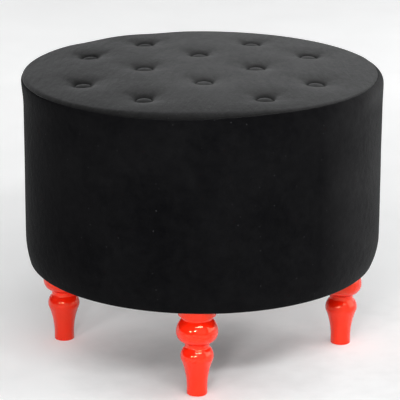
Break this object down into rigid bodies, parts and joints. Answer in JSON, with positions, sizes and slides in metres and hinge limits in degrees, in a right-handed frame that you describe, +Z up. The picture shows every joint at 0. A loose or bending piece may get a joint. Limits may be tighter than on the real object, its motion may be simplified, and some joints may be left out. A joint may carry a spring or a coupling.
{
  "type": "round ottoman",
  "caption": "Round upholstered ottoman: velvet drum on a plywood frame, crowned button-tufted seat with a sewn top seam, and turned lacquered legs on felt pads.",
  "frame": {"origin": "On the floor, at the centre of the ring of legs.", "axes": "+Z up along the drum's axis, -Y towards the front leg, +X towards the right leg."},
  "size_m": [0.58, 0.58, 0.4725],
  "materials": {
    "velvet_black": "matte",
    "wadding": "matte",
    "foam": "matte",
    "plywood": "matte",
    "hardboard": "matte",
    "pine": "matte",
    "zinc": "satin",
    "twine": "matte",
    "cambric": "matte",
    "red_lacquer": "gloss",
    "felt": "matte"
  },
  "bodies": {
    "root": {"top_cover": "velvet_black", "side_cover": "velvet_black", "tuft_buttons": "velvet_black", "seat_wadding": "wadding", "seat_foam": "foam", "side_foam": "foam", "deck_board": "plywood", "base_board": "plywood", "wall_panel": "hardboard", "frame_post_1": "pine", "frame_post_2": "pine", "frame_post_3": "pine", "frame_post_4": "pine", "frame_post_5": "pine", "frame_post_6": "pine", "frame_post_7": "pine", "frame_post_8": "pine", "deck_screws": "zinc", "base_screws": "zinc", "hanger_bolts": "zinc", "tee_nuts": "zinc", "twine_washers": "zinc", "button_twines": "twine", "dust_cover": "cambric", "leg_front": "red_lacquer", "leg_right": "red_lacquer", "leg_back": "red_lacquer", "leg_left": "red_lacquer", "felt_pads": "felt"}
  },
  "joints": []
}
